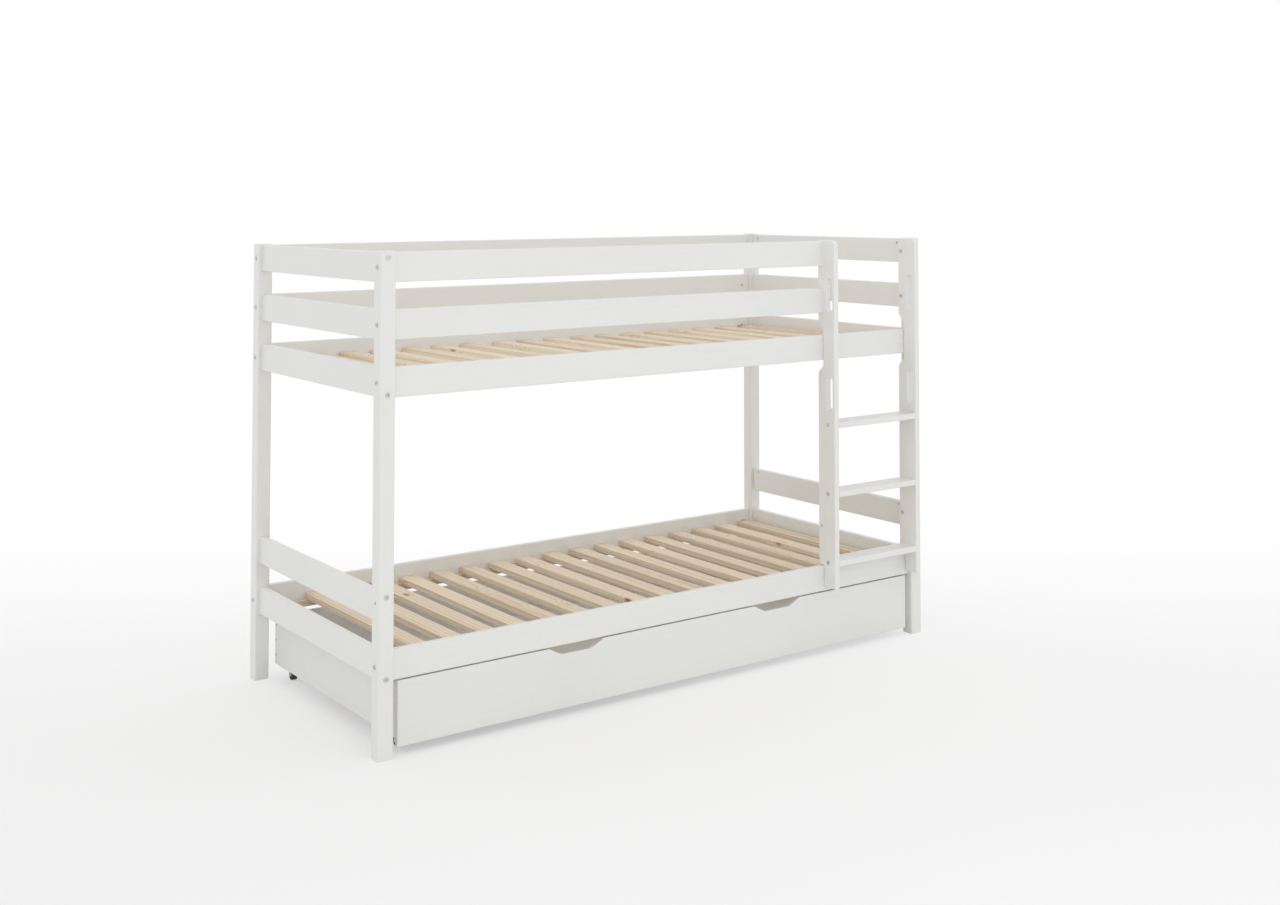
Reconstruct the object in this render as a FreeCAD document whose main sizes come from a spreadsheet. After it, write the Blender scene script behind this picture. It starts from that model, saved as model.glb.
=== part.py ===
import FreeCAD, Part
import os
import re
import Sketcher

# A low bunk bed of painted boards on four square posts, with a ladder beside
# the front right post and one wide drawer on castors under the lower bed.
# X runs along the bed, Y from front to back and Z up. The origin is on the
# floor, in the middle of the whole object.

os.makedirs("parts", exist_ok=True)
doc = FreeCAD.newDocument("BunkBed")

# sizes, mm
sizes = {
    # frame
    "bedLength": 2060, "bedDepth": 977, "bedHeight": 1400,
    "postSize": 46, "postRound": 4, "postTopRound": 2,
    "boardThick": 20, "railWide": 85, "railRound": 3,
    "railRecess": 13,          # from a post's outer face to a rail's outer face
    "topGuardDrop": 88,        # from the posts' tops to the top guard's lower edge
    "railPitch": 160.5,        # from one rail's lower edge to that of the next one up
    "lowerBedZ": 211,
    # slatted bases
    "ledgerTall": 22, "ledgerDeep": 20,
    "slatWide": 56, "slatThick": 20, "slatRound": 2,
    "slatFirst": 170, "slatLastGap": 2, "slatEndGap": 1,
    # ladder
    "ladderWide": 396, "stringerDeep": 85, "ladderReach": 47,
    "stringerFootZ": 226, "footGap": 2, "hookGap": 0.6,
    "stringerTopRound": 22, "stringerRound": 3,
    "notchBelow": 20, "notchAbove": 29, "notchSlope": 22, "notchRound": 20,
    "gripSlotWide": 30, "gripSlotLong": 112, "gripSlotIn": 27,
    "upperSlotUp": 222, "lowerSlotDown": 111.5,     # from the upper bed rail
    "rungDeep": 75, "rungSetBack": 0.5, "bottomRungUp": 1.5,
    "lastStepUp": 5.25,        # the upper bed rail serves as the fourth step
    "rungBoltIn": 36, "rungDowelIn": 58,
    # drawer
    "drawerGap": 18, "drawerFrontThick": 16, "drawerFrontTall": 183,
    "drawerLift": 24, "drawerRound": 2,
    "cutTop": 192, "cutBottom": 103, "cutDeep": 23, "cutRound": 9,
    "cutShare": 0.4,           # the cut-outs stand this share of the front apart
    "drawerBoard": 16, "sideInset": 2, "sideLift": 20, "sideTall": 156,
    "drawerShort": 47, "panelThick": 8, "panelLift": 6, "panelIn": 6,
    "panelSlip": 0.2, "seamGap": 1, "crossWide": 60, "crossTall": 12,
    # castors
    "wheelAcross": 35, "wheelWide": 17, "wheelRound": 2.5, "hubAcross": 15,
    "rimAcross": 27, "wheelDish": 2, "axleAcross": 6, "axleHeadAcross": 9,
    "axleHead": 1.2, "castorIn": 37, "castorFromEnd": 62, "cheekThick": 1.5,
    "cheekGap": 0.5, "cheekTop": 30, "cheekFoot": 14, "cheekRound": 6,
    "plateLong": 40, "plateWide": 46, "plateThick": 2,
    # fixings
    "boltAcross": 6, "boltHole": 7, "headAcross": 14, "headTall": 2.5,
    "headRound": 0.8, "socketAcross": 4, "socketDeep": 3.5, "boltPast": 7,
    "nutInset": 33, "nutAcross": 10, "nutLong": 16, "nutSlot": 2, "nutSlotDeep": 1.5,
    "fitGap": 0.05, "holePast": 2,
    "sleeveAcross": 9, "sleeveLong": 30, "sleeveHole": 9.4, "ladderHoleZ": 428,
    "dowelAcross": 8, "dowelLong": 40, "dowelInPost": 15, "dowelInBoard": 12,
    "dowelInFront": 10, "dowelSpread": 25, "dowelOff": 20,
    "topBoltDrop": 15.4, "lowBoltDrop": 11, "bedBoltUp": 10,
    "screwAcross": 5, "screwLong": 45, "screwHead": 10, "screwHeadTall": 3,
    "screwFromEdge": 30, "screwSunk": 0.1, "tinyAcross": 3.5, "tinyLong": 9,
    "tinyHead": 7, "tinyHeadTall": 2, "tinyX": 15.5, "tinyY": 17,
}
sheet = doc.addObject("Spreadsheet::Sheet", "Sizes")
for row, (name, value) in enumerate(sizes.items(), 1):
    sheet.set("A%d" % row, name)
    sheet.set("B%d" % row, str(value))
    sheet.setAlias("B%d" % row, name)
doc.recompute()

SLATS = 17
# the slats are laid by hand, so a few sit a little off their even spacing
upperNudge = {3: -2, 4: 3, 6: -2, 7: 17, 8: 2, 9: 3, 10: 6}
lowerNudge = {2: 2, 4: -2, 7: 3, 11: -2, 14: 2}

LEFT = "(-bedLength / 2)"
RIGHT = "(bedLength / 2)"
# the ladder in front and the bolt heads at the back move the frame off the middle
FRONT = "((ladderReach - headTall - bedDepth) / 2)"
BACK = "((ladderReach - headTall + bedDepth) / 2)"
TOP_GUARD = "(bedHeight - topGuardDrop)"
MIDDLE_GUARD = "(bedHeight - topGuardDrop - railPitch)"
UPPER_BED = "(bedHeight - topGuardDrop - 2 * railPitch)"
HALF_RAIL = "railWide / 2"
X, Y, Z = FreeCAD.Vector(1, 0, 0), FreeCAD.Vector(0, 1, 0), FreeCAD.Vector(0, 0, 1)
parts = []


# helpers
def bound(text):
    """Put the sheet's name before every size in an expression."""
    return re.sub(r"[A-Za-z]\w*",
                  lambda w: "Sizes." + w[0] if w[0] in sizes else w[0], text)


def bind(thing, field, text):
    thing.setExpression(field, bound(text))


def place(thing, x, y, z):
    for field, text in (("x", x), ("y", y), ("z", z)):
        bind(thing, "Placement.Base." + field, text)


def keep(thing):
    parts.append(thing)
    return thing


def newBody(name, made=True):
    body = doc.addObject("PartDesign::Body", name)
    body.Label = name
    if made:
        keep(body)
    return body


def newSketch(body, role, offset="0"):
    sketch = body.newObject("Sketcher::SketchObject", body.Name + "Sketch")
    plane = [f for f in body.Origin.OriginFeatures if f.Role == role][0]
    sketch.AttachmentSupport = [(plane, "")]
    sketch.MapMode = "FlatFace"
    bind(sketch, "AttachmentOffset.Base.z", offset)
    return sketch


def pin(sketch, item, end, u, v):
    """Fix a point of the sketch by its two distances from the origin."""
    for kind, text in (("DistanceX", u), ("DistanceY", v)):
        number = sketch.addConstraint(Sketcher.Constraint(kind, -1, 1, item, end, 1.0))
        bind(sketch, "Constraints[%d]" % number, text)


def polygon(sketch, corners):
    """A closed outline through the corners, each bound in u and v."""
    many = len(corners)
    start = sketch.GeometryCount
    turn = FreeCAD.Rotation(Z, 360.0 / many)
    # the outline starts as a regular one, which the pins pull into shape
    at = [FreeCAD.Vector(100, 0, 0)]
    for i in range(many):
        at.append(turn.multVec(at[-1]))
    for i in range(many):
        sketch.addGeometry(Part.LineSegment(at[i], at[(i + 1) % many]), False)
    for i in range(many):
        following = start + (i + 1) % many
        sketch.addConstraint(Sketcher.Constraint("Coincident", start + i, 2, following, 1))
    for i, (u, v) in enumerate(corners):
        pin(sketch, start + i, 1, u, v)


def box(u, v, wide, tall):
    """The four corners of a rectangle from its lower left corner."""
    right = "%s + %s" % (u, wide)
    top = "%s + %s" % (v, tall)
    return [(u, v), (right, v), (right, top), (u, top)]


def circles(sketch, centres, across):
    for u, v in centres:
        item = sketch.addGeometry(Part.Circle(FreeCAD.Vector(), Z, 5), False)
        number = sketch.addConstraint(Sketcher.Constraint("Diameter", item, 10.0))
        bind(sketch, "Constraints[%d]" % number, across)
        pin(sketch, item, 3, u, v)


def pad(body, sketch, length, flip=False):
    feature = body.newObject("PartDesign::Pad", body.Name + "Pad")
    feature.Profile = sketch
    feature.Reversed = flip
    bind(feature, "Length", length)
    doc.recompute()
    return feature


def pocket(body, sketch, length=None, flip=False):
    before = body.Shape.Volume
    feature = body.newObject("PartDesign::Pocket", body.Name + "Pocket")
    feature.Profile = sketch
    feature.Reversed = flip
    if length is None:
        feature.Type = "ThroughAll"
    else:
        bind(feature, "Length", length)
    doc.recompute()
    if body.Shape.Volume > before - 0.01:
        raise ValueError("a pocket of %s cuts nothing" % body.Name)
    return feature


def drill(body, role, centres, across, deep=None, offset="0", flip=False):
    sketch = newSketch(body, role, offset)
    circles(sketch, centres, across)
    return pocket(body, sketch, deep, flip)


def spin(body, corners, role="XZ_Plane", axis="V_Axis"):
    """A turned piece from a half section."""
    sketch = newSketch(body, role)
    polygon(sketch, corners)
    feature = body.newObject("PartDesign::Revolution", body.Name + "Turning")
    feature.Profile = sketch
    feature.ReferenceAxis = (sketch, [axis])
    feature.Angle = 360
    doc.recompute()
    return feature


def straight(axis):
    """A test for straight edges along an axis."""
    def test(edge):
        if edge.Curve.TypeId != "Part::GeomLine":
            return False
        return abs(abs(edge.tangentAt(edge.FirstParameter).dot(axis)) - 1) < 1e-6
    return test


def edgeNames(feature, test):
    return ["Edge%d" % (i + 1) for i, e in enumerate(feature.Shape.Edges) if test(e)]


def soften(body, radius, test, kind="Fillet"):
    """Round or chamfer the edges of the body that pass the test."""
    base = body.Tip
    feature = body.newObject("PartDesign::" + kind, body.Name + kind)
    feature.Base = (base, edgeNames(base, test))
    bind(feature, "Radius" if kind == "Fillet" else "Size", radius)
    doc.recompute()
    return feature


def aim(zway, xway):
    """The turn that sends +Z along zway and +X along xway."""
    return FreeCAD.Rotation(xway, zway.cross(xway), zway)


ALONG = {"+X": aim(X, -Z), "-X": aim(-X, Z), "+Y": aim(Y, X), "-Y": aim(-Y, X),
         "+Z": FreeCAD.Rotation()}


def group(name, master, places):
    """Copies of one small piece, kept together as separate solids."""
    links = []
    for i, (turn, x, y, z) in enumerate(places, 1):
        link = doc.addObject("App::Link", "%s_%d" % (name, i))
        link.LinkedObject = master
        link.Placement = FreeCAD.Placement(FreeCAD.Vector(), turn)
        place(link, x, y, z)
        links.append(link)
    whole = doc.addObject("Part::Compound", name)
    whole.Label = name
    whole.Links = links
    doc.recompute()
    return keep(whole)


# rails of the frame
# Height of a rail's lower edge, where its end bolts sit above that edge at the
# two ends of the bed, and how far its dowels sit from the rail's middle there.
RAILS = {
    "top_guard": (TOP_GUARD, "railWide - topBoltDrop", ["-dowelOff"]),
    "middle_guard": (MIDDLE_GUARD, None, ["dowelSpread", "-dowelSpread"]),
    "upper_bed": (UPPER_BED, "bedBoltUp", ["dowelOff"]),
    "lower_guard": ("(lowerBedZ + railPitch)", "railWide - lowBoltDrop", ["-dowelOff"]),
    "lower_bed": ("lowerBedZ", "bedBoltUp", ["dowelOff"]),
}
PAIR = ["dowelSpread", "-dowelSpread"]
LONG = ["top_guard", "middle_guard", "upper_bed", "lower_bed"]
FULL = ["upper_bed", "lower_bed"]
LONG_SPAN = "(bedLength - 2 * postSize)"
SHORT_SPAN = "(bedDepth - 2 * postSize)"
GUARD_SPAN = "(bedLength - 2 * postSize - ladderWide)"
LADDER_LEFT = "(bedLength / 2 - postSize - ladderWide)"


def board(name, length, thick="boardThick", wide="railWide", rounding="railRound", made=True):
    """A plain board along its own X, rounded along its length."""
    body = newBody(name, made)
    sketch = newSketch(body, "YZ_Plane")
    polygon(sketch, box("0", "0", thick, wide))
    pad(body, sketch, length)
    soften(body, rounding, straight(X))
    return body


def rail(name, length, boltUp, dowels, nutsLow, farSeat="dowelInPost"):
    """A board with bolt bores, nut holes and dowel holes at both ends.

    nutsLow says that the nut holes open in the face at the lower Y of the board,
    and farSeat how deep the dowels at its far end stand in what it meets.
    """
    body = board(name, length)
    ends = [("0", True, "dowelInPost"), (length, False, farSeat)]
    middle = "boardThick / 2"
    for offset, flip, seat in ends:
        if boltUp:
            drill(body, "YZ_Plane", [(middle, boltUp)], "boltHole",
                  "nutInset + boltPast + holePast", offset, flip)
        drill(body, "YZ_Plane", [(middle, HALF_RAIL + " + " + d) for d in dowels],
              "dowelAcross + 2 * fitGap", "dowelLong - %s + fitGap" % seat, offset, flip)
    if boltUp:
        centres = [("nutInset", boltUp), (length + " - nutInset", boltUp)]
        drill(body, "XZ_Plane", centres, "nutAcross + 2 * fitGap",
              "(boardThick + nutLong) / 2", "0" if nutsLow else "-boardThick", not nutsLow)
    return body


for kind in RAILS:
    low, boltUp, dowels = RAILS[kind]
    for side in ("left", "right"):
        body = rail("end_%s_%s" % (side, kind), SHORT_SPAN, boltUp, dowels, side == "left")
        body.Placement = FreeCAD.Placement(FreeCAD.Vector(), FreeCAD.Rotation(Z, 90))
        edge = (LEFT + " + railRecess + boardThick") if side == "left" else (RIGHT + " - railRecess")
        place(body, edge, FRONT + " + postSize", low)
for kind in LONG:
    low = RAILS[kind][0]
    body = rail("back_" + kind, LONG_SPAN, HALF_RAIL, PAIR, True)
    place(body, LEFT + " + postSize", BACK + " - railRecess - boardThick", low)
    span = LONG_SPAN if kind in FULL else GUARD_SPAN
    seat = "dowelInPost" if kind in FULL else "dowelInBoard"
    body = rail("front_" + kind, span, HALF_RAIL, PAIR, False, seat)
    place(body, LEFT + " + postSize", FRONT + " + railRecess", low)


# posts
def post(name, side, front):
    """A post with its bolt holes, dowel holes and the holes for the ladder."""
    body = newBody(name)
    sketch = newSketch(body, "XY_Plane")
    polygon(sketch, box("0", "0", "postSize", "postSize"))
    pad(body, sketch, "bedHeight")
    soften(body, "postRound", straight(Z))
    soften(body, "postTopRound", lambda e: e.BoundBox.ZMin > sizes["bedHeight"] - 0.5)
    middle = "postSize / 2"
    ladderPost = front and side == "right"
    here = FULL if ladderPost else LONG
    centreOf = {kind: RAILS[kind][0] + " + " + HALF_RAIL for kind in LONG}
    drill(body, "YZ_Plane", [(middle, centreOf[k]) for k in here], "boltHole", None, "0", True)
    ladderHoles = [(middle, "ladderHoleZ")] if front else []
    if ladderPost:
        ladderHoles += [(middle, centreOf["top_guard"]), (middle, centreOf["middle_guard"])]
    if ladderHoles:
        drill(body, "YZ_Plane", ladderHoles, "sleeveHole", None, "0", True)
    endBolts = [(middle, RAILS[k][0] + " + " + RAILS[k][1]) for k in RAILS if RAILS[k][1]]
    drill(body, "XZ_Plane", endBolts, "boltHole")
    across = "dowelAcross + 2 * fitGap"
    deep = "dowelInPost + fitGap"
    sideDowels = [(middle, centreOf[k] + " + " + d) for k in here for d in PAIR]
    left = side == "left"
    drill(body, "YZ_Plane", sideDowels, across, deep, "postSize" if left else "0", not left)
    endDowels = [(middle, RAILS[k][0] + " + " + HALF_RAIL + " + " + d)
                 for k in RAILS for d in RAILS[k][2]]
    drill(body, "XZ_Plane", endDowels, across, deep, "-postSize" if front else "0", front)
    place(body, LEFT if left else RIGHT + " - postSize",
          FRONT if front else BACK + " - postSize", "0")


for front in (True, False):
    for side in ("left", "right"):
        post("post_%s_%s" % ("front" if front else "back", side), side, front)

# slatted bases
for level, low in (("upper", UPPER_BED), ("lower", "lowerBedZ")):
    for where in ("front", "back"):
        strip = board("ledger_%s_%s" % (level, where), LONG_SPAN, "ledgerDeep", "ledgerTall",
                      "slatRound")
        y = FRONT + " + railRecess + boardThick" if where == "front" else \
            BACK + " - railRecess - boardThick - ledgerDeep"
        place(strip, LEFT + " + postSize", y, low)
SLAT_STEP = "(bedLength - postSize - slatLastGap - slatWide - slatFirst) / %d" % (SLATS - 1)
slat = board("slat", "(bedDepth - 2 * (railRecess + boardThick + slatEndGap))", "slatWide",
             "slatThick", "slatRound", made=False)
quarter = FreeCAD.Rotation(Z, 90)
for level, low, nudge in (("upper", UPPER_BED, upperNudge), ("lower", "lowerBedZ", lowerNudge)):
    spots = []
    for i in range(SLATS):
        along = "%s + slatFirst + slatWide + %d * %s + %d" % (LEFT, i, SLAT_STEP,
                                                              nudge.get(i + 1, 0))
        spots.append((quarter, along, FRONT + " + railRecess + boardThick + slatEndGap",
                      low + " + ledgerTall"))
    group("slats_" + level, slat, spots)

# ladder
# A stringer's own Y is 0 at its front edge. Its rear edge hooks over the upper
# bed rail, and its narrow foot stands in front of the lower one.
RAIL_FACE = "(ladderReach + railRecess)"
HOOK = RAIL_FACE + " - hookGap"
BED_TOP = "(%s + railWide)" % UPPER_BED
FOOT_TOP = "(lowerBedZ + railWide + footGap)"
BOTTOM_RUNG = "(lowerBedZ + railWide + footGap + bottomRungUp)"
STEP = "(%s + lastStepUp - %s) / 3" % (UPPER_BED, BOTTOM_RUNG)
RUNGS = {"top": "(%s + 2 * %s)" % (BOTTOM_RUNG, STEP),
         "middle": "(%s + %s)" % (BOTTOM_RUNG, STEP), "bottom": BOTTOM_RUNG}


def stringer(name, left):
    body = newBody(name)
    sketch = newSketch(body, "YZ_Plane")
    polygon(sketch, [
        ("0", "stringerFootZ"), (HOOK, "stringerFootZ"), (HOOK, FOOT_TOP),
        ("stringerDeep", FOOT_TOP), ("stringerDeep", UPPER_BED + " - notchBelow - notchSlope"),
        (HOOK, UPPER_BED + " - notchBelow"), (HOOK, BED_TOP + " + notchAbove"),
        ("stringerDeep", BED_TOP + " + notchAbove + notchSlope"),
        ("stringerDeep", "bedHeight"), ("0", "bedHeight")])
    pad(body, sketch, "boardThick")

    upperBed = sizes["bedHeight"] - sizes["topGuardDrop"] - 2 * sizes["railPitch"]
    low = upperBed - sizes["notchBelow"] - sizes["notchSlope"] - 1
    high = upperBed + sizes["railWide"] + sizes["notchAbove"] + sizes["notchSlope"] + 1

    def notchCorner(edge):
        return straight(X)(edge) and low < edge.BoundBox.ZMin < high

    def topCorner(edge):
        atTop = edge.BoundBox.ZMin > sizes["bedHeight"] - 1
        return straight(X)(edge) and atTop and edge.BoundBox.YMax < 1

    soften(body, "notchRound", notchCorner)
    soften(body, "stringerTopRound", topCorner)
    slotIn = "gripSlotIn - gripSlotWide / 2"
    reach = "(gripSlotLong - gripSlotWide)"
    for height in (UPPER_BED + " + upperSlotUp", UPPER_BED + " - lowerSlotDown"):
        start = height + " - " + reach + " / 2"
        sketch = newSketch(body, "YZ_Plane")
        polygon(sketch, box(slotIn, start, "gripSlotWide", reach))
        pocket(body, sketch, None, True)
        for sign in (" - ", " + "):
            drill(body, "YZ_Plane", [("gripSlotIn", height + sign + reach + " / 2")],
                  "gripSlotWide", None, "0", True)
    soften(body, "stringerRound", lambda e: not straight(X)(e) and e.BoundBox.XLength < 0.01)
    bolts = [("rungBoltIn", RUNGS[r] + " + boardThick / 2") for r in RUNGS]
    railCentre = "ladderReach + railRecess + boardThick / 2"
    guards = [(railCentre, RAILS[k][0] + " + " + HALF_RAIL) for k in LONG[:2]]
    postHoles = [("ladderReach + postSize / 2", z) for _, z in guards]
    postHoles.append(("ladderReach + postSize / 2", "ladderHoleZ"))
    if left:
        drill(body, "YZ_Plane", bolts + guards, "boltHole", None, "0", True)
        drill(body, "YZ_Plane", postHoles[2:], "sleeveHole", None, "0", True)
    else:
        drill(body, "YZ_Plane", bolts, "boltHole", None, "0", True)
        drill(body, "YZ_Plane", postHoles, "sleeveHole", None, "0", True)
    across = "dowelAcross + 2 * fitGap"
    deep = "dowelInBoard + fitGap"
    rungDowels = [("rungDowelIn", RUNGS[r] + " + boardThick / 2") for r in RUNGS]
    drill(body, "YZ_Plane", rungDowels, across, deep, "boardThick" if left else "0", not left)
    if left:
        guardDowels = [(u, z + " + " + d) for u, z in guards for d in PAIR]
        drill(body, "YZ_Plane", guardDowels, across, deep, "0", True)
    place(body, LADDER_LEFT if left else RIGHT + " - postSize - boardThick",
          FRONT + " - ladderReach", "0")


stringer("ladder_left_stringer", True)
stringer("ladder_right_stringer", False)
RUNG_SPAN = "(ladderWide - 2 * boardThick)"
for name, low in RUNGS.items():
    body = board("ladder_rung_" + name, RUNG_SPAN, "rungDeep", "boardThick")
    boltV = "rungBoltIn - rungSetBack"
    for offset, flip in (("0", True), (RUNG_SPAN, False)):
        drill(body, "YZ_Plane", [(boltV, "boardThick / 2")], "boltHole",
              "nutInset + boltPast + holePast", offset, flip)
        drill(body, "YZ_Plane", [("rungDowelIn - rungSetBack", "boardThick / 2")],
              "dowelAcross + 2 * fitGap", "dowelLong - dowelInBoard + fitGap", offset, flip)
    drill(body, "XY_Plane", [("nutInset", boltV), (RUNG_SPAN + " - nutInset", boltV)],
          "nutAcross + 2 * fitGap", "(boardThick + nutLong) / 2", "0", True)
    place(body, LADDER_LEFT + " + boardThick", FRONT + " - ladderReach + rungSetBack", low)

# fixings of the frame
def bolt(name, length):
    body = newBody(name, False)
    spin(body, [("0", "-headTall"), ("headAcross / 2", "-headTall"), ("headAcross / 2", "0"),
                ("boltAcross / 2", "0"), ("boltAcross / 2", length), ("0", length)])
    soften(body, "headRound", lambda e: e.BoundBox.ZMax < -1 and e.BoundBox.XLength > 1)
    socket(body)
    return body


def socket(body):
    """A six-sided socket in the head's outer face."""
    half = "socketAcross / 2"
    tip = "socketAcross / sqrt(3)"
    sketch = newSketch(body, "XY_Plane", "-headTall")
    polygon(sketch, [(tip, "0"), (tip + " / 2", half), ("-" + tip + " / 2", half),
                     ("-" + tip, "0"), ("-" + tip + " / 2", "-" + half),
                     (tip + " / 2", "-" + half)])
    pocket(body, sketch, "socketDeep", True)


MID_X = " + railRecess + boardThick / 2"
POST_MID = "postSize / 2"
longBolts, shortBolts, nuts, dowels = [], [], [], []
for x, way, inward in ((LEFT, "+X", 1), (RIGHT, "-X", -1)):
    for y, yway, yin in ((FRONT, "+Y", 1), (BACK, "-Y", -1)):
        px = "%s + %d * %s" % (x, inward, POST_MID)
        py = "%s + %d * %s" % (y, yin, POST_MID)
        ladderPost = x == RIGHT and y == FRONT
        for kind in FULL if ladderPost else LONG:
            z = RAILS[kind][0] + " + " + HALF_RAIL
            longBolts.append((ALONG[way], x, py, z))
            nuts.append((aim(Y * yin, X), "%s + %d * (postSize + nutInset)" % (x, inward),
                         "%s + %d * (railRecess + boardThick / 2)" % (y, yin), z))
            for d in PAIR:
                dowels.append((ALONG[way], "%s + %d * (postSize - dowelInPost)" % (x, inward),
                               "%s + %d * (railRecess + boardThick / 2)" % (y, yin),
                               z + " + " + d))
        for kind, (low, boltUp, offs) in RAILS.items():
            if boltUp:
                z = low + " + " + boltUp
                longBolts.append((ALONG[yway], px, y, z))
                nuts.append((aim(X * inward, Y),
                             "%s + %d * (railRecess + boardThick / 2)" % (x, inward),
                             "%s + %d * (postSize + nutInset)" % (y, yin), z))
            for d in offs:
                dowels.append((ALONG[yway],
                               "%s + %d * (railRecess + boardThick / 2)" % (x, inward),
                               "%s + %d * (postSize - dowelInPost)" % (y, yin),
                               low + " + " + HALF_RAIL + " + " + d))
STRINGER_FRONT = FRONT + " - ladderReach"
for kind in LONG[:2]:
    z = RAILS[kind][0] + " + " + HALF_RAIL
    y = FRONT + MID_X
    shortBolts.append((ALONG["-X"], LADDER_LEFT + " + boardThick", y, z))
    nuts.append((aim(Y, X), LADDER_LEFT + " - nutInset", y, z))
    for d in PAIR:
        dowels.append((ALONG["-X"], LADDER_LEFT + " + dowelInBoard", y, z + " + " + d))
for name, low in RUNGS.items():
    z = low + " + boardThick / 2"
    y = STRINGER_FRONT + " + rungBoltIn"
    for x, way, inward in ((LADDER_LEFT, "+X", 1), (RIGHT + " - postSize", "-X", -1)):
        shortBolts.append((ALONG[way], x, y, z))
        nuts.append((aim(-Z, X), "%s + %d * (boardThick + nutInset)" % (x, inward), y, z))
        dowels.append((ALONG[way], "%s + %d * (boardThick - dowelInBoard)" % (x, inward),
                       STRINGER_FRONT + " + rungDowelIn", z))
sleeves = []
for z in [RAILS[k][0] + " + " + HALF_RAIL for k in LONG[:2]] + ["ladderHoleZ"]:
    shortBolts.append((ALONG["-X"], RIGHT, FRONT + " + " + POST_MID, z))
    sleeves.append((ALONG["+X"], RIGHT + " - postSize - boardThick", FRONT + " + " + POST_MID, z))

group("frame_bolts", bolt("long_bolt", "postSize + nutInset + boltPast"), longBolts)
group("ladder_bolts", bolt("short_bolt", "boardThick + nutInset + boltPast"), shortBolts)

nut = newBody("barrel_nut", False)
sketch = newSketch(nut, "XY_Plane", "-nutLong / 2")
circles(sketch, [("0", "0")], "nutAcross")
pad(nut, sketch, "nutLong")
drill(nut, "YZ_Plane", [("0", "0")], "boltAcross + 2 * fitGap", "2 * nutAcross", "-nutAcross", True)
sketch = newSketch(nut, "XY_Plane", "nutLong / 2")
polygon(sketch, box("-nutAcross", "-nutSlot / 2", "2 * nutAcross", "nutSlot"))
pocket(nut, sketch, "nutSlotDeep")
group("barrel_nuts", nut, nuts)

sleeve = newBody("sleeve_nut", False)
spin(sleeve, [("0", "-headTall"), ("headAcross / 2", "-headTall"), ("headAcross / 2", "0"),
              ("sleeveAcross / 2", "0"), ("sleeveAcross / 2", "sleeveLong"),
              ("boltAcross / 2 + fitGap", "sleeveLong"),
              ("boltAcross / 2 + fitGap", "socketDeep"), ("0", "socketDeep")])
soften(sleeve, "headRound", lambda e: e.BoundBox.ZMax < -1 and e.BoundBox.XLength > 1)
sketch = newSketch(sleeve, "XY_Plane", "-headTall")
circles(sketch, [("0", "0")], "socketAcross")
pocket(sleeve, sketch, "socketDeep", True)
group("sleeve_nuts", sleeve, sleeves)

dowel = newBody("dowel", False)
sketch = newSketch(dowel, "XY_Plane")
circles(sketch, [("0", "0")], "dowelAcross")
pad(dowel, sketch, "dowelLong")
soften(dowel, "headRound", lambda e: e.BoundBox.ZLength < 0.01, "Chamfer")
group("frame_dowels", dowel, dowels)

# drawer
FRONT_LONG = "(bedLength - 2 * (postSize + drawerGap))"
DRAWER_LEFT = LEFT + " + postSize + drawerGap"
FACE_Y = FRONT + " + railRecess"
SIDE_Y = FACE_Y + " + drawerFrontThick"
SIDE_LONG = "(bedDepth - drawerShort - railRecess - drawerFrontThick)"
SIDE_Z = "(drawerLift + sideLift)"
INNER = "(bedLength - 2 * (postSize + drawerGap + sideInset + drawerBoard))"
DOWEL_UPS = ["sideTall / 6", "sideTall / 2", "sideTall * 5 / 6"]

front = newBody("drawer_front")
sketch = newSketch(front, "XZ_Plane")
polygon(sketch, box("0", "0", FRONT_LONG, "drawerFrontTall"))
pad(front, sketch, "drawerFrontThick", True)
for sign in (-1, 1):
    centre = "(1 + %d * cutShare) * %s / 2" % (sign, FRONT_LONG)
    low = "drawerFrontTall - cutDeep"
    high = "drawerFrontTall + cutDeep"
    slope = "(cutTop - cutBottom) / 2"
    sketch = newSketch(front, "XZ_Plane")
    polygon(sketch, [(centre + " - cutBottom / 2", low), (centre + " + cutBottom / 2", low),
                     (centre + " + cutTop / 2", "drawerFrontTall"),
                     (centre + " + cutTop / 2", high), (centre + " - cutTop / 2", high),
                     (centre + " - cutTop / 2", "drawerFrontTall")])
    pocket(front, sketch)
frontEnd = sizes["bedLength"] - 2 * (sizes["postSize"] + sizes["drawerGap"]) - 1
soften(front, "cutRound", lambda e: straight(Y)(e) and e.BoundBox.XMin > 1
       and e.BoundBox.XMax < frontEnd)
soften(front, "drawerRound", lambda e: e.BoundBox.YLength < 0.01)
drill(front, "XZ_Plane",
      [(x, "sideLift + " + z) for x in ("sideInset + drawerBoard / 2",
                                        FRONT_LONG + " - sideInset - drawerBoard / 2")
       for z in DOWEL_UPS],
      "dowelAcross + 2 * fitGap", "dowelInFront + fitGap", "-drawerFrontThick", True)
sketch = newSketch(front, "XZ_Plane", "-drawerFrontThick")
GROOVE = "panelThick + 2 * panelSlip"
polygon(sketch, box("sideInset + drawerBoard - panelIn", "sideLift + panelLift - panelSlip",
                    FRONT_LONG + " - 2 * (sideInset + drawerBoard - panelIn)", GROOVE))
pocket(front, sketch, "panelIn", True)
place(front, DRAWER_LEFT, FACE_Y, "drawerLift")

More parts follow.
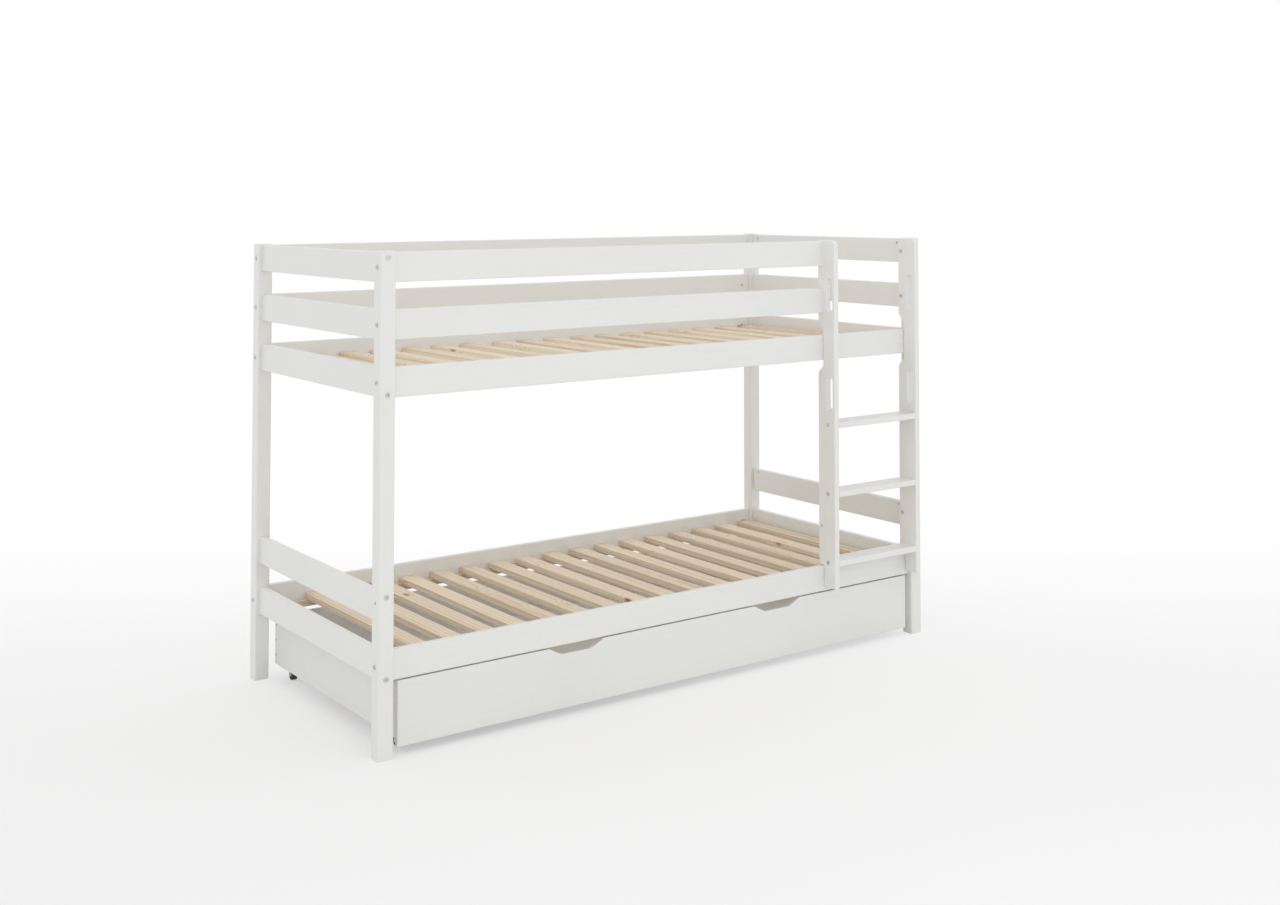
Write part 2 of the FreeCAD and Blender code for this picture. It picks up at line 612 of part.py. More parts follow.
BACK_SCREWS = ["screwFromEdge", "sideTall / 2", "sideTall - screwFromEdge"]
for side in ("left", "right"):
    left = side == "left"
    body = newBody("drawer_%s_side" % side)
    sketch = newSketch(body, "YZ_Plane")
    polygon(sketch, box("0", "0", SIDE_LONG, "sideTall"))
    pad(body, sketch, "drawerBoard")
    soften(body, "drawerRound", straight(Y))
    sketch = newSketch(body, "YZ_Plane", "drawerBoard" if left else "0")
    polygon(sketch, box("0", "panelLift - panelSlip", SIDE_LONG, GROOVE))
    pocket(body, sketch, "panelIn", not left)
    drill(body, "XZ_Plane", [("drawerBoard / 2", z) for z in DOWEL_UPS],
          "dowelAcross + 2 * fitGap", "dowelLong - dowelInFront + fitGap")
    spots = [(SIDE_LONG + " - drawerBoard / 2", z) for z in BACK_SCREWS]
    drill(body, "YZ_Plane", spots, "screwAcross + 2 * fitGap", None, "0", True)
    drill(body, "YZ_Plane", spots, "screwHead + 2 * fitGap", "screwHeadTall",
          "0" if left else "drawerBoard", left)
    x = DRAWER_LEFT + " + sideInset"
    if not left:
        x += " + drawerBoard + " + INNER
    place(body, x, SIDE_Y, SIDE_Z)

back = newBody("drawer_back")
sketch = newSketch(back, "YZ_Plane")
polygon(sketch, box("0", "0", "drawerBoard", "sideTall"))
pad(back, sketch, INNER)
soften(back, "drawerRound", straight(X))
for offset, flip in (("0", True), (INNER, False)):
    drill(back, "YZ_Plane", [("drawerBoard / 2", z) for z in BACK_SCREWS],
          "screwAcross + 2 * fitGap", "screwLong - drawerBoard + holePast", offset, flip)
sketch = newSketch(back, "XZ_Plane")
polygon(sketch, box("0", "panelLift - panelSlip", INNER, GROOVE))
pocket(back, sketch, "panelIn")
INNER_X = DRAWER_LEFT + " + sideInset + drawerBoard"
BACK_PANEL_Y = BACK + " - drawerShort - drawerBoard"
place(back, INNER_X, BACK_PANEL_Y, SIDE_Z)

# bottom panels slide in the grooves and meet over the cross rail
PANEL_LONG = "(bedLength - 2 * (postSize + drawerGap + sideInset + drawerBoard - panelIn + panelSlip))"
PANEL_DEEP = "((%s - drawerBoard + 2 * (panelIn - panelSlip) - seamGap) / 2)" % SIDE_LONG
PANEL_X = DRAWER_LEFT + " + sideInset + drawerBoard - panelIn + panelSlip"
PANEL_Z = "drawerLift + sideLift + panelLift"
FRONT_PANEL_Y = SIDE_Y + " - panelIn + panelSlip"
CASTOR_XS = [LEFT + " + postSize + drawerGap + sideInset + castorIn",
             RIGHT + " - postSize - drawerGap - sideInset - castorIn"]
CASTOR_YS = {"front": SIDE_Y + " + castorFromEnd", "back": BACK + " - drawerShort - castorFromEnd"}
for where, y in (("front", FRONT_PANEL_Y), ("back", FRONT_PANEL_Y + " + seamGap + " + PANEL_DEEP)):
    body = newBody("drawer_bottom_" + where)
    sketch = newSketch(body, "XY_Plane")
    polygon(sketch, box("0", "0", PANEL_LONG, PANEL_DEEP))
    pad(body, sketch, "panelThick")
    spots = []
    for x in CASTOR_XS:
        for dx in (" - tinyX", " + tinyX"):
            for dy in (" - tinyY", " + tinyY"):
                spots.append(("%s%s - (%s)" % (x, dx, PANEL_X),
                              "%s%s - (%s)" % (CASTOR_YS[where], dy, y)))
    drill(body, "XY_Plane", spots, "tinyAcross + 2 * fitGap", "tinyLong - plateThick + fitGap",
          "0", True)
    place(body, PANEL_X, y, PANEL_Z)
cross = board("drawer_cross_rail", INNER, "crossWide", "crossTall", "drawerRound")
place(cross, INNER_X, FRONT_PANEL_Y + " + " + PANEL_DEEP + " + seamGap / 2 - crossWide / 2",
      PANEL_Z + " - crossTall")

drawerDowels, screws, tinies = [], [], []
for i, x in enumerate((DRAWER_LEFT + " + sideInset + drawerBoard / 2",
                       INNER_X + " + " + INNER + " + drawerBoard / 2")):
    for z in DOWEL_UPS:
        drawerDowels.append((ALONG["+Y"], x, SIDE_Y + " - dowelInFront", SIDE_Z + " + " + z))
for x, way in ((DRAWER_LEFT + " + sideInset", "+X"),
               (INNER_X + " + " + INNER + " + drawerBoard", "-X")):
    for z in BACK_SCREWS:
        screws.append((ALONG[way], x, BACK_PANEL_Y + " + drawerBoard / 2", SIDE_Z + " + " + z))
group("drawer_dowels", dowel, drawerDowels)
screw = newBody("drawer_screw", False)
spin(screw, [("0", "screwSunk"), ("screwHead / 2", "screwSunk"), ("screwHead / 2", "screwHeadTall"),
             ("screwAcross / 2", "screwHeadTall"), ("screwAcross / 2", "screwLong"),
             ("0", "screwLong")])
sketch = newSketch(screw, "XY_Plane", "screwSunk")
circles(sketch, [("0", "0")], "socketAcross")
pocket(screw, sketch, "screwHeadTall / 2", True)
group("drawer_screws", screw, screws)

# castors
# A castor's own origin is the middle of its axle, which lies along X.
PLATE_TOP = "(drawerLift + sideLift + panelLift - wheelAcross / 2)"
HALF_GAP = "(wheelWide / 2 + cheekGap)"
axle = newBody("castor_axle", False)
end = HALF_GAP + " + cheekThick"
tip = end + " + axleHead"
spin(axle, [("-(" + tip + ")", "0"), (tip, "0"), (tip, "axleHeadAcross / 2"),
            (end, "axleHeadAcross / 2"), (end, "axleAcross / 2"),
            ("-(" + end + ")", "axleAcross / 2"), ("-(" + end + ")", "axleHeadAcross / 2"),
            ("-(" + tip + ")", "axleHeadAcross / 2")], axis="H_Axis")
tiny = newBody("castor_screw", False)
spin(tiny, [("0", "-tinyHeadTall"), ("tinyHead / 2", "-tinyHeadTall"), ("tinyHead / 2", "0"),
            ("tinyAcross / 2", "0"), ("tinyAcross / 2", "tinyLong"), ("0", "tinyLong")])
axles = []
for where, y in CASTOR_YS.items():
    for side, x in zip(("left", "right"), CASTOR_XS):
        bracket = newBody("castor_%s_%s_bracket" % (where, side))
        sketch = newSketch(bracket, "XY_Plane", PLATE_TOP + " - plateThick")
        polygon(sketch, box("-plateLong / 2", "-plateWide / 2", "plateLong", "plateWide"))
        pad(bracket, sketch, "plateThick")
        for start in (HALF_GAP, "-" + HALF_GAP + " - cheekThick"):
            sketch = newSketch(bracket, "YZ_Plane", start)
            polygon(sketch, [("-cheekFoot / 2", "-cheekRound"), ("cheekFoot / 2", "-cheekRound"),
                             ("cheekTop / 2", PLATE_TOP + " - plateThick"),
                             ("-cheekTop / 2", PLATE_TOP + " - plateThick")])
            pad(bracket, sketch, "cheekThick")
        drill(bracket, "YZ_Plane", [("0", "0")], "axleAcross + 2 * fitGap", "plateLong",
              "-plateLong / 2", True)
        spots = [(a + "tinyX", b + "tinyY") for a in ("", "-") for b in ("", "-")]
        drill(bracket, "XY_Plane", spots, "tinyAcross + 2 * fitGap", None,
              PLATE_TOP + " - plateThick", True)
        place(bracket, x, y, "wheelAcross / 2")
        wheel = newBody("castor_%s_%s_wheel" % (where, side))
        half = "wheelWide / 2"
        dish = half + " - wheelDish"
        bore = "axleAcross / 2 + fitGap"
        spin(wheel, [("-" + half, bore), (half, bore), (half, "hubAcross / 2"),
                     (dish, "hubAcross / 2"), (dish, "rimAcross / 2"), (half, "rimAcross / 2"),
                     (half, "wheelAcross / 2"), ("-" + half, "wheelAcross / 2"),
                     ("-" + half, "rimAcross / 2"), ("-(" + dish + ")", "rimAcross / 2"),
                     ("-(" + dish + ")", "hubAcross / 2"), ("-" + half, "hubAcross / 2")],
             axis="H_Axis")
        soften(wheel, "wheelRound", lambda e: e.BoundBox.ZLength > sizes["wheelAcross"] - 1
               and e.BoundBox.XLength < 0.01)
        place(wheel, x, y, "wheelAcross / 2")
        axles.append((FreeCAD.Rotation(), x, y, "wheelAcross / 2"))
        for a in (" + ", " - "):
            for b in (" + ", " - "):
                tinies.append((FreeCAD.Rotation(), x + a + "tinyX", y + b + "tinyY",
                               PANEL_Z + " - plateThick"))
group("castor_axles", axle, axles)
group("castor_screws", tiny, tinies)

# check and write
doc.recompute()
for thing in doc.Objects:
    if "Invalid" in thing.State or "Error" in thing.State:
        raise ValueError("%s did not rebuild" % thing.Name)
for thing in parts:
    if thing.Shape.isNull() or not thing.Shape.isValid():
        raise ValueError("%s has no sound shape" % thing.Label)
for thing in parts:
    thing.Shape.exportStep("parts/%s.step" % thing.Label)
print("wrote", len(parts), "sub-parts")
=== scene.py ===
import bpy
from math import cos, sin
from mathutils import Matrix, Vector


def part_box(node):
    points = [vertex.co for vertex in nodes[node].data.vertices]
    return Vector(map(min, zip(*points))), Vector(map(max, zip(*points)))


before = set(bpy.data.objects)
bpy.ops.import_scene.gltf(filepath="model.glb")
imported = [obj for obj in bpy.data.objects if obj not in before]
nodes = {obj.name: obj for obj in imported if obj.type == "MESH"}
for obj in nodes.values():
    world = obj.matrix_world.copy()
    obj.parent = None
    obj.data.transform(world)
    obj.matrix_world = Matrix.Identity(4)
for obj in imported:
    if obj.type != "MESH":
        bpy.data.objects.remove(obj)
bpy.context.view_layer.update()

# A white bunk bed with pine slats, a ladder and a drawer on castors.
scene = bpy.context.scene
print("frame loaded:", len(nodes), "pieces")


# small helpers for materials
def startMaterial(name, shaderValues):
    material = bpy.data.materials.new(name)
    material.use_nodes = True
    tree = material.node_tree
    shader = tree.nodes["Principled BSDF"]
    for socket, value in shaderValues.items():
        shader.inputs[socket].default_value = value
    return material, tree, shader


def addNode(tree, kind, at, inputs=None, **settings):
    # an input is either a socket, which is linked, or a plain value, which is set
    node = tree.nodes.new("ShaderNode" + kind)
    node.location = at
    for name, value in settings.items():
        setattr(node, name, value)
    for socket, value in (inputs or {}).items():
        if isinstance(value, bpy.types.NodeSocket):
            tree.links.new(value, node.inputs[socket])
        else:
            node.inputs[socket].default_value = value
    return node


def calculate(tree, operation, at, first, second=0.0):
    return addNode(tree, "Math", at, {0: first, 1: second}, operation=operation).outputs[0]


def multiplyColours(tree, at, first, second):
    return addNode(tree, "Mix", at, {0: 1.0, 6: first, 7: second}, data_type="RGBA",
                   blend_type="MULTIPLY").outputs[2]


def shadeRamp(tree, at, value, stops):
    stops = list(stops)
    node = addNode(tree, "ValToRGB", at, {"Fac": value})
    ramp = node.color_ramp
    while len(ramp.elements) < len(stops):
        ramp.elements.new(0.5)
    for element, (place, colour) in zip(ramp.elements, stops):
        element.position = place
        element.color = (*colour, 1)
    return node.outputs[0]


def objectPlace(tree, at=(-1000, 0)):
    return addNode(tree, "TexCoord", at).outputs["Object"]


def connectSurface(tree, shader, colour, height, strength, depth, at=(-300, -350)):
    # depth is how high the relief stands, in metres
    tree.links.new(colour, shader.inputs["Base Color"])
    bump = addNode(tree, "Bump", at, {"Height": height, "Strength": strength, "Distance": depth})
    tree.links.new(bump.outputs[0], shader.inputs["Normal"])


def connectRoughness(tree, shader, at, value, between, low=0.0, high=1.0):
    rough = addNode(tree, "MapRange", at, {"Value": value, "From Min": low, "From Max": high,
                                           "To Min": between[0], "To Max": between[1]})
    tree.links.new(rough.outputs[0], shader.inputs["Roughness"])


def dress(node, material):
    mesh = nodes[node].data
    if not mesh.materials:
        mesh.materials.append(material)
    for i in range(len(mesh.materials)):
        mesh.materials[i] = material


# white lacquer, one finish per board so that no two boards share a pattern
lacquer = {
    "light": (0.845, 0.845, 0.825),
    "shade": (0.82, 0.818, 0.797),
    "drawerTint": 0.985,        # the drawer's boards are a touch greyer
    "streak": 0.988,            # how bright the faint grain lines stay
    "coat": 0.12,
    "coatRoughness": 0.25,
    "ior": 1.48,
    "roughness": (0.38, 0.46),
    "roughEdges": (0.3, 0.7),
    "cloudScale": 2.3,
    "cloudEdges": (0.3, 0.62),
    "grainScale": 120.0,
    "grainEdges": (0.35, 0.6),
    "grainStretch": 0.045,      # how slowly the grain changes along a board
    "poreScale": 540.0,
    "relief": 0.25,
    "reliefDepth": 0.00025,
    "boardShift": (5.27, 7.13, 2.79),   # how far the pattern moves on from board to board
}


def makeLacquer(name, along, number, tint):
    material, tree, shader = startMaterial(name, {
        "Coat Weight": lacquer["coat"], "Coat Roughness": lacquer["coatRoughness"],
        "IOR": lacquer["ior"]})
    stretch = [1.0, 1.0, 1.0]
    stretch["XYZ".index(along)] = lacquer["grainStretch"]
    shifted = addNode(tree, "Mapping", (-1200, 200), {
        "Vector": objectPlace(tree, (-1400, 0)),
        "Location": tuple(number * shift for shift in lacquer["boardShift"])}).outputs[0]
    grainway = addNode(tree, "Mapping", (-1200, -200), {
        "Vector": shifted, "Scale": tuple(stretch)}).outputs[0]
    clouds = addNode(tree, "TexNoise", (-950, 250), {
        "Vector": shifted, "Scale": lacquer["cloudScale"], "Detail": 5.0,
        "Roughness": 0.6}).outputs["Fac"]
    grain = addNode(tree, "TexNoise", (-950, -100), {
        "Vector": grainway, "Scale": lacquer["grainScale"], "Detail": 4.0,
        "Distortion": 0.4}).outputs["Fac"]
    pores = addNode(tree, "TexNoise", (-950, -400), {
        "Vector": grainway, "Scale": lacquer["poreScale"], "Detail": 2.0}).outputs["Fac"]
    shade, light = (tuple(c * tint for c in lacquer[tone]) for tone in ("shade", "light"))
    cloudy = shadeRamp(tree, (-650, 250), clouds, zip(lacquer["cloudEdges"], (shade, light)))
    streaks = shadeRamp(tree, (-650, 0), grain, zip(
        lacquer["grainEdges"], ((lacquer["streak"],) * 3, (1.0,) * 3)))
    connectRoughness(tree, shader, (-350, -50), grain, lacquer["roughness"],
                     *lacquer["roughEdges"])
    relief = calculate(tree, "ADD", (-650, -300), grain, pores)
    connectSurface(tree, shader, multiplyColours(tree, (-350, 200), cloudy, streaks), relief,
                   lacquer["relief"], lacquer["reliefDepth"])
    return material


runsAlong = {}      # which way the grain of each board runs
for name in nodes:
    if name.startswith("post_") or name.endswith("_stringer"):
        runsAlong[name] = "Z"
    elif name.startswith("end_") or name.endswith("_side"):
        runsAlong[name] = "Y"
    elif name.startswith(("front_", "back_", "ladder_rung_")) or name in (
            "drawer_front", "drawer_back"):
        runsAlong[name] = "X"
for number, name in enumerate(sorted(runsAlong), 1):
    tint = lacquer["drawerTint"] if name.startswith("drawer_") else 1.0
    dress(name, makeLacquer("lacquer_" + name, runsAlong[name], number, tint))
print("white boards lacquered:", len(runsAlong))


# thin white panels of the drawer's bottom, smoother than the boards
panel = {
    "light": (0.89, 0.89, 0.885),
    "shade": (0.87, 0.87, 0.865),
    "roughness": 0.5,
    "fleckScale": 260.0,
    "fleckEdges": (0.35, 0.65),
    "relief": 0.2,
    "reliefDepth": 0.0002,
}


def makePanel(name):
    material, tree, shader = startMaterial(name, {"Roughness": panel["roughness"]})
    flecks = addNode(tree, "TexNoise", (-750, 0), {
        "Vector": objectPlace(tree), "Scale": panel["fleckScale"], "Detail": 2.0}).outputs["Fac"]
    colour = shadeRamp(tree, (-450, 100), flecks, zip(
        panel["fleckEdges"], (panel["shade"], panel["light"])))
    connectSurface(tree, shader, colour, flecks, panel["relief"], panel["reliefDepth"])
    return material


for name in ("drawer_bottom_front", "drawer_bottom_back"):
    dress(name, makePanel("panel_" + name))
print("drawer bottom done")


# pine: rings round the length of each piece, knots, and a tone for each slat
pine = {
    "early": (0.90, 0.78, 0.62),
    "late": (0.80, 0.61, 0.42),
    "knotRim": (0.50, 0.30, 0.16),
    "knotHeart": (0.25, 0.13, 0.07),
    "toneSpread": 0.11,             # how much darker the darkest slat is
    "specular": 0.35,
    "roughness": (0.72, 0.55),      # in early and in late wood
    "heartAcross": (-0.075, 0.02),  # metres between a piece and the heart of its log
    "heartDown": (-0.06, 0.05),
    "cutAlong": (0.0, 40.0),        # where in the log's length a piece was cut
    "ringScale": 26.0,
    "lengthwise": 0.06,             # how slowly the rings change along the wood
    "wanderScale": 9.0,
    "ringWander": 0.02,
    "knotsAcross": 11.0,
    "knotsAlong": 4.0,
    "knotReach": 0.34,              # how far a knot bends the rings
    "knotSwirl": 0.022,
    "knotEdge": (0.07, 0.13),
    "fibreScale": 900.0,
    "fibreStretch": 0.6,
    "relief": 0.4,
    "reliefDepth": 0.0003,
}


def slatOf(tree, place, across, firstEdge, step, seed):
    # how far inside its own slat a point lies, and chance values that hold for that slat
    fromEdge = calculate(tree, "SUBTRACT", (-2000, 200), place[across], firstEdge)
    inside = calculate(tree, "FLOORED_MODULO", (-1800, 250), fromEdge, step)
    steps = calculate(tree, "DIVIDE", (-1800, 50), fromEdge, step)
    number = calculate(tree, "FLOOR", (-1600, 50), steps)
    label = calculate(tree, "ADD", (-1450, 50), number, seed)
    chance = addNode(tree, "TexWhiteNoise", (-1300, 50), {"W": label}, noise_dimensions="1D")
    return inside, chance.outputs


def placeInLog(tree, place, along, inside, luck, lowest):
    # every piece is sawn from its own log, whose heart lies somewhere below or beside it
    moves = []
    for draw, key, y in zip(luck, ("heartAcross", "heartDown", "cutAlong"), (300, 100, -100)):
        moves.append(addNode(tree, "MapRange", (-900, y), {
            "Value": draw, "To Min": pine[key][0], "To Max": pine[key][1]}).outputs[0])
    acrossLog = calculate(tree, "ADD", (-700, 300), inside, moves[0])
    height = calculate(tree, "ADD", (-700, 100), place[2], moves[1])
    alongLog = calculate(tree, "ADD", (-700, -100), place[along], moves[2])
    throughLog = calculate(tree, "SUBTRACT", (-500, 100), height, lowest)
    slowly = calculate(tree, "MULTIPLY", (-500, -100), alongLog, pine["lengthwise"])
    ringPlace = addNode(tree, "CombineXYZ", (-300, 100), {
        "X": acrossLog, "Y": slowly, "Z": throughLog}).outputs[0]
    knotPlace = addNode(tree, "CombineXYZ", (-300, -200), {
        "X": acrossLog, "Y": alongLog, "Z": throughLog}).outputs[0]
    return ringPlace, knotPlace


def distanceToKnot(tree, knotPlace):
    scaled = addNode(tree, "Mapping", (-100, -250), {"Vector": knotPlace, "Scale": (
        pine["knotsAcross"], pine["knotsAlong"], pine["knotsAcross"])}).outputs[0]
    return addNode(tree, "TexVoronoi", (100, -250), {
        "Vector": scaled, "Scale": 1.0, "Randomness": 1.0}).outputs["Distance"]


def fallOff(tree, at, distance, near, far):
    return addNode(tree, "MapRange", at, {
        "Value": distance, "From Min": near, "From Max": far, "To Min": 1.0, "To Max": 0.0},
        interpolation_type="SMOOTHSTEP").outputs[0]


def growthRings(tree, ringPlace, knotDistance):
    # the rings wander a little and bend round the knots
    wander = addNode(tree, "TexNoise", (-100, 350), {
        "Vector": ringPlace, "Scale": pine["wanderScale"], "Detail": 3.0}).outputs["Fac"]
    drift = calculate(tree, "MULTIPLY", (100, 350), wander, pine["ringWander"])
    nearKnot = fallOff(tree, (300, -250), knotDistance, 0.0, pine["knotReach"])
    swirl = calculate(tree, "MULTIPLY", (500, -100), nearKnot, pine["knotSwirl"])
    push = calculate(tree, "ADD", (650, 100), swirl, drift)
    pushed = addNode(tree, "VectorMath", (800, 100), {0: ringPlace, 1: push}, operation="ADD")
    return addNode(tree, "TexWave", (1000, 100), {
        "Vector": pushed.outputs[0], "Scale": pine["ringScale"], "Distortion": 1.2,
        "Detail": 2.0, "Detail Scale": 1.5}, wave_type="RINGS", rings_direction="Y",
        wave_profile="SAW").outputs["Fac"]


def pineColour(tree, rings, knotDistance, slatChance):
    early, late = pine["early"], pine["late"]
    between = tuple(0.5 * (a + b) for a, b in zip(early, late))
    wood = shadeRamp(tree, (1200, 150), rings, [
        (0.0, early), (0.62, early), (0.88, late), (1.0, between)])
    knot = shadeRamp(tree, (1200, -250), knotDistance, [
        (0.0, pine["knotHeart"]), (0.05, pine["knotRim"]), (0.11, late)])
    inKnot = fallOff(tree, (1200, -450), knotDistance, *pine["knotEdge"])
    withKnots = addNode(tree, "Mix", (1500, 50), {
        0: inKnot, 6: wood, 7: knot}, data_type="RGBA").outputs[2]
    tone = addNode(tree, "MapRange", (1500, 300), {
        "Value": slatChance, "To Min": 1.0 - pine["toneSpread"], "To Max": 1.0}).outputs[0]
    return multiplyColours(tree, (1700, 150), withKnots, tone)


def makePine(name, along, across, firstEdge, step, seed, lowest):
    material, tree, shader = startMaterial(name, {"Specular IOR Level": pine["specular"]})
    place = addNode(tree, "SeparateXYZ", (-2200, 0), {
        "Vector": objectPlace(tree, (-2400, 0))}).outputs
    inside, chance = slatOf(tree, place, across, firstEdge, step, seed)
    luck = addNode(tree, "SeparateXYZ", (-1100, 50), {"Vector": chance["Color"]}).outputs
    ringPlace, knotPlace = placeInLog(tree, place, along, inside, luck, lowest)
    knotDistance = distanceToKnot(tree, knotPlace)
    rings = growthRings(tree, ringPlace, knotDistance)
    fibrePlace = addNode(tree, "Mapping", (100, -600), {
        "Vector": ringPlace, "Scale": (1.0, pine["fibreStretch"], 1.0)}).outputs[0]
    fibres = addNode(tree, "TexNoise", (300, -600), {
        "Vector": fibrePlace, "Scale": pine["fibreScale"], "Detail": 2.0}).outputs["Fac"]
    connectRoughness(tree, shader, (1500, -500), rings, pine["roughness"])
    relief = calculate(tree, "ADD", (1500, -700), rings, fibres)
    connectSurface(tree, shader, pineColour(tree, rings, knotDistance, chance["Value"]),
                   relief, pine["relief"], pine["reliefDepth"], (1700, -600))
    shader.location = (1950, 0)
    tree.nodes["Material Output"].location = (2250, 0)
    return material


# sawn holds, for each node of pine: which axis is its length, along which axis its pieces
# follow each other, where the first one starts, and the step to the next
slats = {"count": 17, "width": 0.056}
slatLow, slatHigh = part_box("slats_lower")
slatStep = (slatHigh.x - slatLow.x - slats["width"]) / (slats["count"] - 1)
firstSlatEdge = slatLow.x - (slatStep - slats["width"]) / 2
sawn = {name: {"along": 1, "across": 0, "firstEdge": firstSlatEdge, "step": slatStep,
               "seed": seed} for name, seed in (("slats_upper", 11), ("slats_lower", 47))}
for seed, name in enumerate(("ledger_upper_front", "ledger_upper_back", "ledger_lower_front",
                             "ledger_lower_back", "drawer_cross_rail"), 60):
    sawn[name] = {"along": 0, "across": 1, "firstEdge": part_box(name)[0].y, "step": 1.0,
                  "seed": seed}
for name, cut in sawn.items():
    dress(name, makePine(name, lowest=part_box(name)[0].z, **cut))
print("pine done:", len(sawn))


# metal: turned or pressed marks, and stains that dull it
metal = {
    "markScale": 900.0,
    "markEdges": (0.3, 0.7),
    "stainScale": 140.0,
    "stainEdges": (0.35, 0.6),
    "relief": 0.25,
    "reliefDepth": 0.00008,
}


def makeMetal(name, bright, dull, metallic, roughness):
    material, tree, shader = startMaterial(name, {"Metallic": metallic})
    where = objectPlace(tree)
    marks = addNode(tree, "TexNoise", (-750, 0), {
        "Vector": where, "Scale": metal["markScale"], "Detail": 3.0,
        "Distortion": 1.5}).outputs["Fac"]
    stains = addNode(tree, "TexNoise", (-750, -300), {
        "Vector": where, "Scale": metal["stainScale"], "Detail": 3.0}).outputs["Fac"]
    colour = shadeRamp(tree, (-450, 100), stains, zip(metal["stainEdges"], (dull, bright)))
    connectRoughness(tree, shader, (-450, -150), marks, roughness, *metal["markEdges"])
    connectSurface(tree, shader, colour, marks, metal["relief"], metal["reliefDepth"])
    return material


# zinc plated fixings
zinc = {"bright": (0.70, 0.70, 0.71), "dull": (0.52, 0.52, 0.53), "metallic": 1.0,
        "roughness": (0.22, 0.42)}
for name in ("frame_bolts", "ladder_bolts", "sleeve_nuts", "barrel_nuts", "drawer_screws",
             "castor_screws", "castor_axles"):
    dress(name, makeMetal("zinc_" + name, **zinc))
print("fixings plated")


# castors: grey pressed brackets and black moulded wheels
bracket = {"bright": (0.30, 0.30, 0.31), "dull": (0.22, 0.22, 0.23), "metallic": 0.6,
           "roughness": (0.35, 0.55)}
wheel = {
    "black": (0.012, 0.012, 0.013),
    "dusty": (0.035, 0.034, 0.033),
    "specular": 0.45,
    "roughness": (0.3, 0.55),
    "dustScale": 60.0,
    "dustEdges": (0.42, 0.72),
    "textureScale": 1400.0,
    "relief": 0.3,
    "reliefDepth": 0.00006,
}


def makeMoulded(name):
    material, tree, shader = startMaterial(name, {"Specular IOR Level": wheel["specular"]})
    where = objectPlace(tree)
    texture = addNode(tree, "TexNoise", (-750, 0), {
        "Vector": where, "Scale": wheel["textureScale"], "Detail": 1.0}).outputs["Fac"]
    dust = addNode(tree, "TexNoise", (-750, -300), {
        "Vector": where, "Scale": wheel["dustScale"], "Detail": 4.0}).outputs["Fac"]
    colour = shadeRamp(tree, (-450, 100), dust, zip(
        wheel["dustEdges"], (wheel["black"], wheel["dusty"])))
    connectRoughness(tree, shader, (-450, -150), dust, wheel["roughness"])
    connectSurface(tree, shader, colour, texture, wheel["relief"], wheel["reliefDepth"])
    return material


for name in sorted(nodes):
    if name.endswith("_bracket"):
        dress(name, makeMetal("bracket_" + name, **bracket))
    elif name.endswith("_wheel"):
        dress(name, makeMoulded("wheel_" + name))
print("castors done")


# beech dowels, hidden in their holes
beech = {
    "light": (0.66, 0.49, 0.33),
    "dark": (0.52, 0.35, 0.21),
    "roughness": 0.6,
    "fleckScale": 240.0,
    "fleckEdges": (0.35, 0.6),
    "relief": 0.3,
    "reliefDepth": 0.0002,
}


def makeBeech(name):
    material, tree, shader = startMaterial(name, {"Roughness": beech["roughness"]})
    flecks = addNode(tree, "TexNoise", (-750, 0), {
        "Vector": objectPlace(tree), "Scale": beech["fleckScale"], "Detail": 5.0,
        "Distortion": 0.6}).outputs["Fac"]
    colour = shadeRamp(tree, (-450, 100), flecks, zip(
        beech["fleckEdges"], (beech["dark"], beech["light"])))
    connectSurface(tree, shader, colour, flecks, beech["relief"], beech["reliefDepth"])
    return material


for name in ("frame_dowels", "drawer_dowels"):
    dress(name, makeBeech("beech_" + name))
print("dowels done")


# the camera, in metres and radians, and its lens in millimetres
view = {
    "place": (-2.87542, -4.53361, 1.54505),
    "turn": (1.610135, 0.00303, -0.667253),
    "lens": 43.835,
    "sensor": 36,
    "shiftRight": -0.09779,
    "shiftUp": -0.24687,
    "farthest": 200,
}


def placeCamera():
    bpy.ops.object.camera_add(location=view["place"], rotation=view["turn"])
    camera = bpy.context.object
    camera.name = "photoView"
    camera.data.sensor_width = view["sensor"]
    camera.data.lens = view["lens"]
    camera.data.shift_x = view["shiftRight"]
    camera.data.shift_y = view["shiftUp"]
    camera.data.clip_end = view["farthest"]
    scene.camera = camera


# studio: a pale floor that turns white with distance, and a white world round it
studio = {
    "floorSize": 60.0,
    "floorColour": (0.90, 0.90, 0.90),
    "floorGlow": 0.38,      # how much of its own white the camera sees in the floor
    "whiteFrom": 4.2,       # metres in front of the camera's place
    "whiteTo": 7.6,
    "worldColour": (1.0, 1.0, 1.0),
    "worldStrength": 0.90,
    "softboxes": [
        {"place": (-0.6, -3.8, 1.5), "size": 1.6, "watts": 8.0, "target": (0.4, 0.4, 0.4)},
        {"place": (0.5, -2.6, 4.6), "size": 3.0, "watts": 2.0, "target": (0.0, 0.0, 0.4)},
    ],
}


def seenDirectly(tree, x, y):
    # 1 where the camera or a reflection looks at the surface, 0 where it only gives light
    ray = addNode(tree, "LightPath", (x, y)).outputs
    return calculate(tree, "MAXIMUM", (x + 200, y), ray["Is Camera Ray"], ray["Is Glossy Ray"])


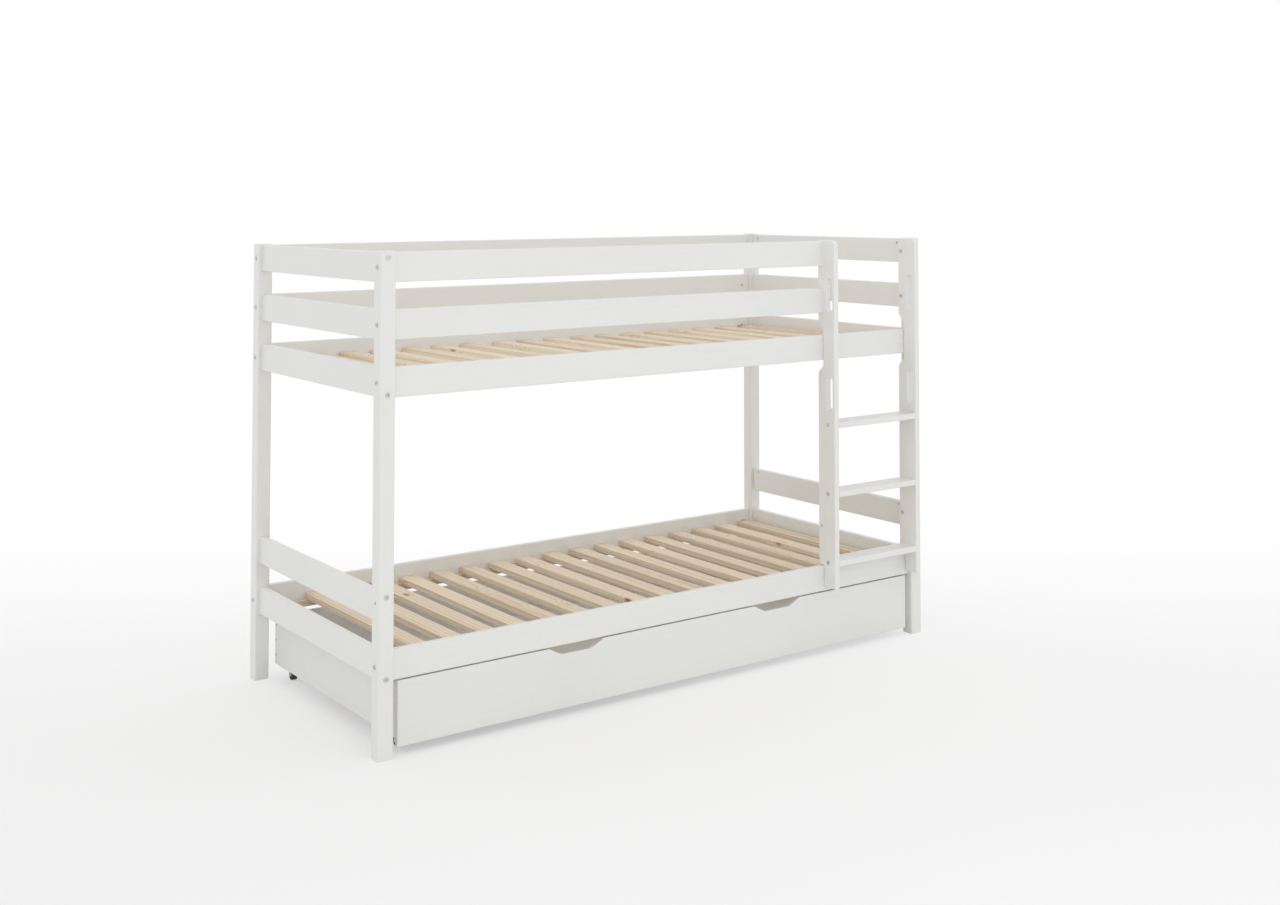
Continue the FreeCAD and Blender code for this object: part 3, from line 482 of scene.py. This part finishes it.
def makeFloorWhite():
    material = bpy.data.materials.new("studioFloor")
    material.use_nodes = True
    tree = material.node_tree
    tree.nodes.clear()
    heading = view["turn"][2]
    ahead = Vector((-sin(heading), cos(heading), 0.0))
    start = ahead.dot(Vector(view["place"]))
    depth = addNode(tree, "VectorMath", (-1000, 0), {
        0: objectPlace(tree, (-1200, 0)), 1: tuple(ahead)},
        operation="DOT_PRODUCT").outputs["Value"]
    fade = addNode(tree, "MapRange", (-800, 0), {
        "Value": depth, "From Min": start + studio["whiteFrom"],
        "From Max": start + studio["whiteTo"]}, interpolation_type="SMOOTHSTEP").outputs[0]
    glowing = addNode(tree, "MapRange", (-600, 50), {
        "Value": fade, "To Min": studio["floorGlow"], "To Max": 1.0}).outputs[0]
    share = calculate(tree, "MULTIPLY", (-400, 0), glowing, seenDirectly(tree, -800, -250))
    cloth = addNode(tree, "BsdfDiffuse", (-400, 250), {"Color": (*studio["floorColour"], 1)})
    glow = addNode(tree, "Emission", (-400, -250), {"Color": (1, 1, 1, 1), "Strength": 1.0})
    mixed = addNode(tree, "MixShader", (-150, 0), {
        0: share, 1: cloth.outputs[0], 2: glow.outputs[0]})
    addNode(tree, "OutputMaterial", (100, 0), {"Surface": mixed.outputs[0]})
    return material


def lightWorld():
    world = bpy.data.worlds.new("studioWorld")
    scene.world = world
    world.use_nodes = True
    tree = world.node_tree
    tree.nodes.clear()
    strength = addNode(tree, "MapRange", (-400, 0), {
        "Value": seenDirectly(tree, -800, 0), "To Min": studio["worldStrength"],
        "To Max": 1.0}).outputs[0]
    sky = addNode(tree, "Background", (-200, 0), {
        "Color": (*studio["worldColour"], 1), "Strength": strength})
    addNode(tree, "OutputWorld", (0, 0), {"Surface": sky.outputs[0]})


def hangSoftbox(name, place, size, watts, target):
    bpy.ops.object.light_add(type="AREA", location=place)
    lamp = bpy.context.object
    lamp.name = name
    lamp.data.shape = "DISK"
    lamp.data.size = size
    lamp.data.energy = watts
    beam = Vector(target) - Vector(place)
    lamp.rotation_euler = beam.to_track_quat("-Z", "Y").to_euler()


bpy.ops.object.select_all(action="DESELECT")
bpy.ops.mesh.primitive_plane_add(size=studio["floorSize"], location=(0, 0, 0))
floor = bpy.context.object
floor.name = "studioFloor"
floor.data.materials.append(makeFloorWhite())
lightWorld()
for i, softbox in enumerate(studio["softboxes"], 1):
    hangSoftbox("softbox%d" % i, **softbox)
placeCamera()
scene.view_settings.view_transform = "Standard"
print("studio, lights and camera ready")
